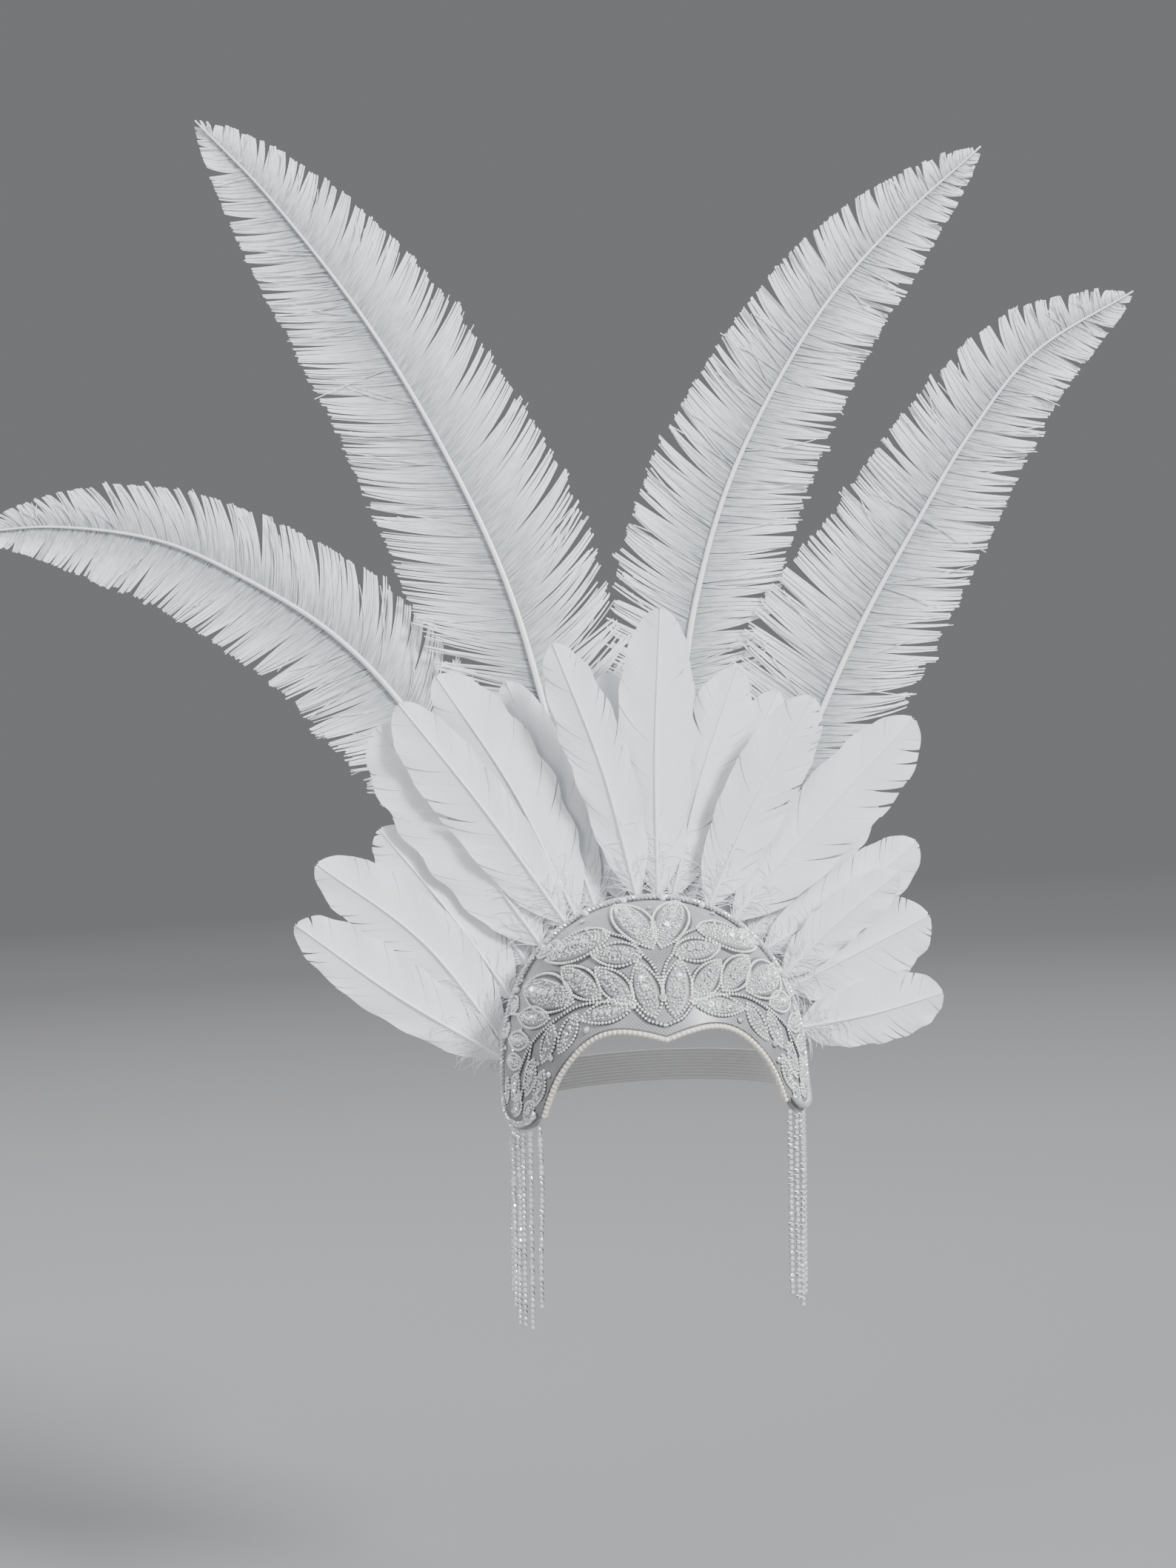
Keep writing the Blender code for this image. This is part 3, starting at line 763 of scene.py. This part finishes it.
class Shaft:
    """The line of a feather's shaft seen from the front, with an outline either side."""

    def __init__(self, points, left, right, outline, layer):
        line = even_path([Vector((x, 0, z)) for x, z in points], 3 * MM)
        self.x = np.array([p.x for p in line])
        self.z = np.array([p.z for p in line])
        self.at = np.linspace(0, 1, len(line))
        self.length = 3 * MM * (len(line) - 1)
        self.width = {-1: left, 1: right}
        curve = smooth_path([Vector((t, w, 0)) for t, w in outline], 6)
        self.outline = ([p.x for p in curve], [p.y for p in curve])
        self.layer = layer

    def spot(self, t):
        return np.interp(t, self.at, self.x), np.interp(t, self.at, self.z)

    def aside(self, t):
        """The direction square to the shaft, to the right going up it."""
        x0, z0 = self.spot(np.clip(t - 0.02, 0, 1))
        x1, z1 = self.spot(np.clip(t + 0.02, 0, 1))
        run = np.hypot(x1 - x0, z1 - z0)
        return (z1 - z0) / run, -(x1 - x0) / run

    def half(self, t, side):
        return self.width[side] * np.interp(t, *self.outline)

    def barb(self, share, start, reach, side, stretch=1.0, open_angle=0.55):
        """A place along a barb that leaves the shaft at start and is cut off at the outline."""
        ax, az = self.spot(start)
        end = np.minimum(1.0, start + reach)
        ex, ez = self.spot(end)
        nx, nz = self.aside(end)
        wide = self.half(end, side) * stretch * side
        ex, ez = ex + nx * wide, ez + nz * wide
        mx, mz = self.spot(np.minimum(1.0, start + reach * 0.4))
        mnx, mnz = self.aside(start)
        mx, mz = mx + mnx * wide * open_angle, mz + mnz * wide * open_angle
        a, b, c = (1 - share) ** 2, 2 * share * (1 - share), share ** 2
        return a * ax + b * mx + c * ex, a * az + b * mz + c * ez


def root_point(degrees, layer):
    """Where a quill is fixed, just outside the cap."""
    inner = crown_point(degrees, LAYERS[layer][0] * MM)
    at = inner + outward(inner) * (WALL + 1.8 * MM)
    return at.x, at.z


def shaft_mesh(name, shaft, radius, tip_radius, forward):
    """The round tapered quill and shaft, lying along the front of its vane."""
    steps = max(24, int(shaft.length / (4 * MM)))
    path = []
    for k in range(steps + 1):
        x, z = shaft.spot(k / steps)
        path.append(Vector((x, float(fan_depth(x, z, shaft.layer)) - forward, z)))
    taper = [radius + (tip_radius - radius) * k / steps for k in range(steps + 1)]
    return cord_mesh(name, path, 1.0, taper=taper)


def strip_unit(holder, columns, rows):
    """A thin closed strip: x along it and y across it from 0 to 1, z 0 in front and 1 behind."""
    strip = bmesh.new()
    bmesh.ops.create_grid(strip, x_segments=columns, y_segments=rows, size=0.5)
    bmesh.ops.translate(strip, verts=strip.verts, vec=(0.5, 0.5, 0))
    bmesh.ops.solidify(strip, geom=strip.faces[:], thickness=1)
    low = min(v.co.z for v in strip.verts)
    for vert in strip.verts:
        vert.co.z -= low
    bmesh.ops.recalc_face_normals(strip, faces=strip.faces)
    return holder.unit(strip)


def lay_strip(holder, unit, x, z, depth, thickness, chart=None):
    """Add one strip with its corners at x, z and depth, its back a thickness behind.

    A strip laid to the left is a mirror image, so its faces are turned to look outwards.
    """
    places = np.stack([x, depth + unit[0][:, 2] * thickness, z], axis=1)
    faces = unit[1].reshape(-1, 4)
    a, b, c, d = (places[faces[:, k]] - places[0] for k in range(4))
    if np.sum(a * (np.cross(b, c) + np.cross(c, d))) < 0:
        unit = unit[0], faces[:, ::-1].ravel(), unit[2]
    holder.add(unit, places, chart)


ostrich = Finish("ostrich_barb", roughness=0.75, sheen_weight=0.3, sheen_roughness=0.5)
barb_along = ostrich.axes(ostrich.uv)[0]
streak = ostrich.noise(1.0, 3, ostrich.object.node("VectorMath", {"operation": "MULTIPLY"}, {
    0: ostrich.uv, 1: (90, 900, 1)}))
# the vane is painted grey by the shaft and white further out: painted shade near the shaft; the
# streaks are the barbs' own varied tone
ostrich.feed(base_color=(streak * 0.8 + barb_along * 13).ramp(
    0.25, (0.20, 0.23, 0.25), 0.9, (0.84, 0.87, 0.89)))
ostrich.bump(streak, 0.5, 0.0004)
quill = Finish("plume_shaft", roughness=0.35, coat_weight=0.2)
quill.mottle(80, 0.3, (0.90, 0.91, 0.90), 0.7, (0.98, 0.98, 0.97))


def build_plume(name, angle, points, left, right, left_sweep, right_sweep, flare, layer,
                seed_number):
    draw = np.random.default_rng(seed_number)
    line = [root_point(angle, layer)] + [(x * MM, z * MM) for x, z in points]
    shaft = Shaft(line, left * MM, right * MM, PLUME_OUTLINE, layer)
    vane = Copies()
    unit = strip_unit(vane, 7, 1)
    along, edge = unit[0][:, 0], unit[0][:, 1] - 0.5
    pitch = BARB_PITCH / shaft.length

    def lay_barb(begin, sweep, side, stretch, pull, width, sink, curl):
        """One barb from its foot on the shaft; pull bends its outer half along the shaft."""
        half = shaft.half(begin, side)
        reach = sweep * half / shaft.length + 0.004
        spot = begin + pull * along ** 2.2 + edge * width / shaft.length * 1.12
        x, z = shaft.barb(along, np.clip(spot, 0, 0.995), reach, side, stretch)
        depth = fan_depth(x, z, layer) + 0.05 * along * half + sink + curl * along ** 2
        chart = np.stack([along * 50 * MM, edge * width + draw.uniform(0, 1)], axis=1)
        lay_strip(vane, unit, x, z, depth, BARB_THICKNESS, chart)

    for side, sweep in ((-1, left_sweep), (1, right_sweep)):
        start = 0.09
        while start < 0.985:
            clump = int(draw.choice(CLUMPS, p=CLUMP_ODDS))
            middle = start + pitch * clump / 2
            close = draw.uniform(0.08, 0.6)
            wild = 3.0 if start < 0.32 else 1.0
            swing = draw.normal(0, 0.8) * pitch * wild
            curl = draw.normal(0, 2.0) * MM
            neat = draw.random() > 0.08
            trim = draw.uniform(0.955, 1.0) if neat else draw.uniform(1.01, 1.07)
            if side < 0:
                trim *= 1 + flare * math.exp(-((middle - 0.3) / 0.12) ** 2)
            for _ in range(clump):
                begin = min(0.987, start + draw.uniform(-0.2, 0.2) * pitch)
                width = (1.6 - 0.8 * along ** 1.4) * MM * draw.uniform(0.7, 1.25)
                lay_barb(begin, sweep, side, trim * draw.uniform(1 - 0.04 * wild, 1.0),
                         (middle - begin) * close + swing, width, draw.uniform(-0.35, 0.35) * MM,
                         curl + draw.normal(0, 0.5) * MM)
                start += pitch
        for _ in range(STRAYS):
            lay_barb(draw.uniform(0.12, 0.94), sweep + draw.normal(0, 0.13), side,
                     draw.uniform(0.7, 1.03), draw.normal(0, 2.5) * pitch,
                     (0.9 - 0.5 * along) * MM, -0.5 * MM, draw.normal(-1.2, 1.0) * MM)
    add_piece(name + "_barbs", vane, ostrich, [name], sharp=50)
    made = shaft_mesh(name + "_shaft", shaft, 2.2 * MM, 0.5 * MM, 1.0 * MM)
    add_piece(name + "_shaft", made, quill)


for number, plume in enumerate(PLUMES):
    build_plume(*plume, seed_number=40 + number)


# ---- The goose feathers ----
# Trimmed white goose feathers, glued side by side in four layers round the arch with their
# good side forward.  Each vane is closed and smooth, split here and there where barbs parted,
# and has soft down round the foot of its quill.
VANE_THICKNESS = 0.25 * MM
DOWN_THICKNESS = 0.16 * MM
SPLITS = (0.02, 0.04, 0.08, 0.45)       # how far a tuft of barbs narrows, and how often
SPLIT_ODDS = (0.4, 0.28, 0.2, 0.12)
LOWEST = (1, 2, 20, 21)                 # the feathers with the most down at their feet
DOWN_COUNT, MOST_DOWN = 80, 130
# a feather: root angle, tip in mm, sideways bow, half widths left and right in mm, its layer
GOOSE_FEATHERS = (
    (-81, (-191, 1), -3, 15, 20, "front"),
    (-75, (-178, 33), 9, 18, 21, "second"),
    (-59, (-143, 50), 2, 19, 20, "third"),
    (-46, (-122, 66), 0, 16, 17, "fourth"),
    (-38, (-141, 106), 1, 25, 20, "second"),
    (-27, (-128, 118), 2, 22, 16, "front"),
    (-23, (-107, 133), 5, 16, 24, "third"),
    (-16, (-68, 128), 2, 16, 16, "fourth"),
    (-2, (-42, 146), 4, 16, 17, "front"),
    (0, (-12, 130), 0, 17, 17, "fourth"),
    (5, (19, 163), -2, 21, 21, "second"),
    (10, (61, 128), -3, 19, 19, "third"),
    (17, (84, 114), -2, 16, 16, "fourth"),
    (22, (100, 109), -3, 19, 19, "front"),
    (31, (157, 94), -2, 19, 25, "second"),
    (39, (134, 58), 0, 18, 18, "fourth"),
    (46, (156, 25), 3, 17, 18, "third"),
    (57, (142, 9), -2, 13, 13, "front"),
    (62, (159, -16), 0, 22, 22, "second"),
    (69, (150, -36), 0, 16, 16, "fourth"),
    (77, (163, -59), 2, 19, 17, "front"),
)
GOOSE_OUTLINE = ((0, 0.3), (0.08, 0.56), (0.24, 0.82), (0.44, 0.97), (0.66, 1.0), (0.84, 0.84),
                 (0.93, 0.6), (0.975, 0.36), (1, 0.08))


def cap_girth(layer):
    """How far out the cap reaches at a layer's depth, for each angle down from the crown."""
    angles = np.arange(-100, 101, 2)
    seats = [crown_point(angle, LAYERS[layer][0] * MM) for angle in angles]
    rims = [seat + outward(seat) * (WALL + 0.5 * MM) for seat in seats]
    return angles, np.array([math.hypot(rim.x, rim.z + HEIGHT) for rim in rims])


GIRTHS = {layer: cap_girth(layer) for layer in LAYERS}


def clear_cap(x, z, layer):
    """Move what would cut into the cap straight out from its middle."""
    reach = np.maximum(np.hypot(x, z + HEIGHT), 1 * MM)
    least = np.interp(np.degrees(np.arctan2(x, z + HEIGHT)), *GIRTHS[layer])
    push = np.maximum(1.0, least / reach)
    return x * push, (z + HEIGHT) * push - HEIGHT


goose = Finish("goose_vane", roughness=0.55, sheen_weight=0.25, sheen_roughness=0.4)
goose_lines = goose.noise(1.0, 2, goose.object.node("VectorMath", {"operation": "MULTIPLY"}, {
    0: goose.uv, 1: (60, 1500, 1)}))
soft = goose.noise(28)
goose.feed(base_color=(goose_lines * 0.5 + soft * 0.5).ramp(
    0.3, (0.80, 0.83, 0.86), 0.7, (0.92, 0.94, 0.96)))
goose.bump(goose_lines, 0.3, 0.0003)


def add_goose(vane, angle, tip, bow, left, right, layer, draw, wisps):
    """Gather the strips of one feather's vane, and its down, and give its shaft line back."""
    root = Vector(root_point(angle, layer))
    end = Vector(tip) * MM
    along = (end - root).normalized()
    middle = (root + end) / 2 + Vector((along.y, -along.x)) * bow * MM
    shaft = Shaft((root, middle, end), left * MM, right * MM, GOOSE_OUTLINE, layer)
    unit = strip_unit(vane, 8, 3)
    out, over = unit[0][:, 0], unit[0][:, 1]
    for side in (-1, 1):
        start = 0.0
        ripple, wavy = draw.uniform(0, 6.28), draw.uniform(0.01, 0.05)
        while start < 0.985:
            step = min(draw.uniform(0.035, 0.085), 0.992 - start)
            split = draw.choice(SPLITS, p=SPLIT_ODDS)
            tilt = draw.uniform(-0.4, 0.4) * MM
            narrow = 0.5 + (over - 0.5) * (1.03 - split * out ** 2)
            begin = start + step * narrow
            reach = 0.15 * (1 - begin ** 4) + 0.006
            ragged = 1 + wavy * np.sin(begin * 34 + ripple) + draw.uniform(-0.02, 0.02)
            x, z = clear_cap(*shaft.barb(out, begin, reach, side, ragged, 0.62), layer)
            away = out * shaft.half(np.minimum(1, begin + reach), side)
            roof = 1.3 * MM * (1 - np.exp(-away / (6 * MM))) + 0.025 * away
            wave = 0.6 * MM * np.sin(begin * 22 + ripple) * out ** 2
            depth = fan_depth(x, z, layer) - 0.4 * MM + roof + wave + tilt * out
            chart = np.stack([away, begin * shaft.length], axis=1)
            lay_strip(vane, unit, x, z, depth, VANE_THICKNESS, chart)
            start += step
    down = strip_unit(vane, 5, 1)
    curl, edge = down[0][:, 0], down[0][:, 1] - 0.5
    for k in range(wisps):
        side = draw.choice((-1, 1))
        begin = draw.uniform(-0.02, 0.3) if k % 2 else draw.uniform(-0.02, 0.12)
        heading = math.atan2(along.y, along.x) - side * draw.uniform(0.15, 1.2)
        length = draw.uniform(7, 20) * MM * (1 if begin < 0.15 else 0.6)
        swing = heading + draw.uniform(-1.0, 1.0) * curl
        thin = (0.5 - 0.35 * curl) * MM * edge
        x0, z0 = shaft.spot(max(0, begin))
        x = x0 + length * curl * np.cos(swing) - thin * np.sin(swing)
        z = z0 + length * curl * np.sin(swing) + thin * np.cos(swing)
        x, z = clear_cap(x, z, layer)
        depth = fan_depth(x, z, layer) - 0.6 * MM + draw.uniform(-0.9, 2.4) * MM * curl
        lay_strip(vane, down, x, z, depth, DOWN_THICKNESS)
    return shaft


for number, feather in enumerate(GOOSE_FEATHERS, 1):
    name = f"goose_{number:02d}"
    vane = Copies()
    shaft = add_goose(vane, *feather, np.random.default_rng(100 + number),
                      MOST_DOWN if number in LOWEST else DOWN_COUNT)
    add_piece(name + "_vane", vane, goose,
              [f"goose_feather_{number:02d}"], sharp=50)
    made = shaft_mesh(name + "_shaft", shaft, 1.0 * MM, 0.25 * MM, 0.55 * MM)
    add_piece(name + "_shaft", made, quill)


# ---- The short feathers ----
# A row of short goose feathers glued behind the long ones, so that no felt and no quill shows
# between their feet.
LAYERS["short"] = (13.7, 0.11)
GIRTHS["short"] = cap_girth("short")
short_draw = np.random.default_rng(77)
short_vanes = Copies()
for angle in np.arange(-77, 78, 7.0):
    lean = angle + short_draw.uniform(-6, 6)
    reach = short_draw.uniform(52, 66) - 0.22 * abs(angle)
    foot_x, foot_z = root_point(angle, "short")
    short_tip = (foot_x / MM + reach * math.sin(math.radians(lean)),
                 foot_z / MM + reach * math.cos(math.radians(lean)))
    add_goose(short_vanes, angle, short_tip, short_draw.uniform(-2, 2), 10, 10, "short",
              short_draw, 16)
add_piece("short_feathers", short_vanes, goose, sharp=50)


# ---- The fringe ----
# Lengths of stone chain sewn to the bottom edge of each lobe: round cut stones in small silver
# cups, soldered in a row by short links.
CHAIN_PLACES = (-53.5, -44.1, -34.7, -25.3, -15.9, -6.5)
CHAIN_LENGTHS = {-1: (96, 105, 104, 105, 98, 94), 1: (98, 99, 104, 99, 95, 90)}
CHAIN_LEAN = -0.045
CHAIN_PITCH = 2.95 * MM


def edge_height(back):
    """The lowest level of a lobe's bottom edge over the width of one chain."""
    edge = [face_point(a, z * MM) for a, z in FACE_EDGE]
    edge += [crown_point(a, y * MM) for a, y in reversed(REAR_EDGE[7:])]
    edge = smooth_path(edge, 24)
    return min(p.z for p in edge if abs(p.y - back) < 1.8 * MM)


chain_stone = Copies()
brilliant_unit = cone_unit(chain_stone, 8, 1.42, 0.8, 0.7)
chain_metal = Copies()
setting_unit = cone_unit(chain_metal, 10, 1.15, 1.5, 1.3)
link_unit = cone_unit(chain_metal, 6, 0.32, 0.32, 1)
for side in (-1, 1):
    for number, (place, length) in enumerate(zip(CHAIN_PLACES, CHAIN_LENGTHS[side]), 1):
        back = place * MM
        across = HALF_WIDTH * math.sqrt(1 - (back / HALF_DEPTH) ** 2) + WALL / 2
        top = Vector((side * across, back, edge_height(back) - 0.8 * MM))
        drift = CHAIN_LEAN * length * MM
        sway = 0.8 * MM * math.sin(2.3 * number + side)
        route = even_path([top, top + Vector((drift * 0.3 + sway, sway / 2, -0.35 * length * MM)),
                           top + Vector((drift * 0.7, -sway / 2, -0.7 * length * MM)),
                           top + Vector((drift, 0, -length * MM))], CHAIN_PITCH)
        facing = Vector((side * 0.5, -0.87, 0)).normalized()
        for k, (upper, lower) in enumerate(zip(route, route[1:])):
            spot = (upper + lower) / 2
            look = Matrix.Rotation(random.uniform(-0.25, 0.25), 3, "Z") @ facing
            chain_metal.put(setting_unit, stand(spot - look * 0.35 * MM, look, 0, MM))
            chain_stone.put(brilliant_unit, stand(spot + look * 0.55 * MM, look,
                                                  random.uniform(0, 0.8), MM))
            chain_metal.put(link_unit, stand(spot - look * 0.3 * MM, upper - lower, 0,
                                             (MM, MM, CHAIN_PITCH * 1.02)))
chain_nodes = [f"fringe_chain_{word}_{n}" for word in ("left", "right") for n in range(1, 7)]
add_piece("chain_settings", chain_metal, plate, chain_nodes)
add_piece("chain_stones", chain_stone, crystal, sharp=10)


# ---- The studio ----
# A plain pale floor well below the fringe that fades out far away, broad soft lights, and a
# camera in front of the face.
FLOOR_LEVEL = -0.42
FLOOR_HALF = 40
corners = [(x * FLOOR_HALF, y * FLOOR_HALF, FLOOR_LEVEL)
           for x, y in ((-1, -1), (1, -1), (1, 1), (-1, 1))]
floor_mesh = bpy.data.meshes.new("floor")
floor_mesh.from_pydata(corners, [], [(0, 1, 2, 3)])
floor = add_object("floor", floor_mesh)
paper = Finish("studio_floor", roughness=0.9)
distance = paper.object.node("VectorMath", {"operation": "LENGTH"}, {0: paper.object}, out=1)
# the floor is painted darker with distance: a painted falloff of light down to the background's
# level
paper.feed(base_color=(distance * 0.12).ramp(
    0.15, (0.235, 0.238, 0.245), 0.7, (0.08, 0.081, 0.084)))
paper.feed(alpha=(distance * 0.08).ramp(0.16, (1, 1, 1), 0.8, (0, 0, 0)))
floor_mesh.materials.append(paper.material)

sky = bpy.data.worlds.new("studio")
sky.use_nodes = True
sky.node_tree.nodes["Background"].inputs["Color"].default_value = (0.18, 0.183, 0.19, 1)
sky.node_tree.nodes["Background"].inputs["Strength"].default_value = 1.0
bpy.context.scene.world = sky


def add_lamp(name, kind, place, power, **settings):
    """A lamp that shines from its place to the origin; a sun only has that direction."""
    light = bpy.data.lights.new(name, kind)
    light.energy = power
    for key, value in settings.items():
        setattr(light, key, value)
    lamp = add_object(name, light)
    lamp.location = place
    lamp.rotation_euler = Vector(place).to_track_quat("Z", "Y").to_euler()


add_lamp("key", "SUN", (1.0, -0.9, 0.9), 5.2, angle=0.25)
add_lamp("fill", "SUN", (-1.0, -0.9, 0.2), 1.0, angle=1.2)
add_lamp("back", "SUN", (-0.4, 1.0, 0.8), 3.2, angle=0.6)
# soft boxes that give the beads and stones something bright to mirror
for name, place, wide, tall in (("panel_left", (-1.3, -1.5, 0.5), 0.35, 1.6),
                                ("panel_right", (1.1, -1.7, 0.9), 0.35, 1.6),
                                ("panel_top", (0.1, -0.9, 1.9), 1.4, 0.35)):
    add_lamp(name, "AREA", place, 9, shape="RECTANGLE", size=wide, size_y=tall)

CAMERA_PLACE = (-0.104, -1.296, 0.061)
CAMERA_TURN, CAMERA_PITCH, CAMERA_ROLL = map(math.radians, (-3.40, 0.31, -3.38))
camera_data = bpy.data.cameras.new("camera")
camera_data.lens = 54.3
camera_data.sensor_width = 36
camera = add_object("camera", camera_data)
camera.matrix_world = (Matrix.Translation(CAMERA_PLACE) @ Matrix.Rotation(CAMERA_TURN, 4, "Z")
                       @ Matrix.Rotation(math.pi / 2 + CAMERA_PITCH, 4, "X")
                       @ Matrix.Rotation(CAMERA_ROLL, 4, "Z"))
bpy.context.scene.camera = camera
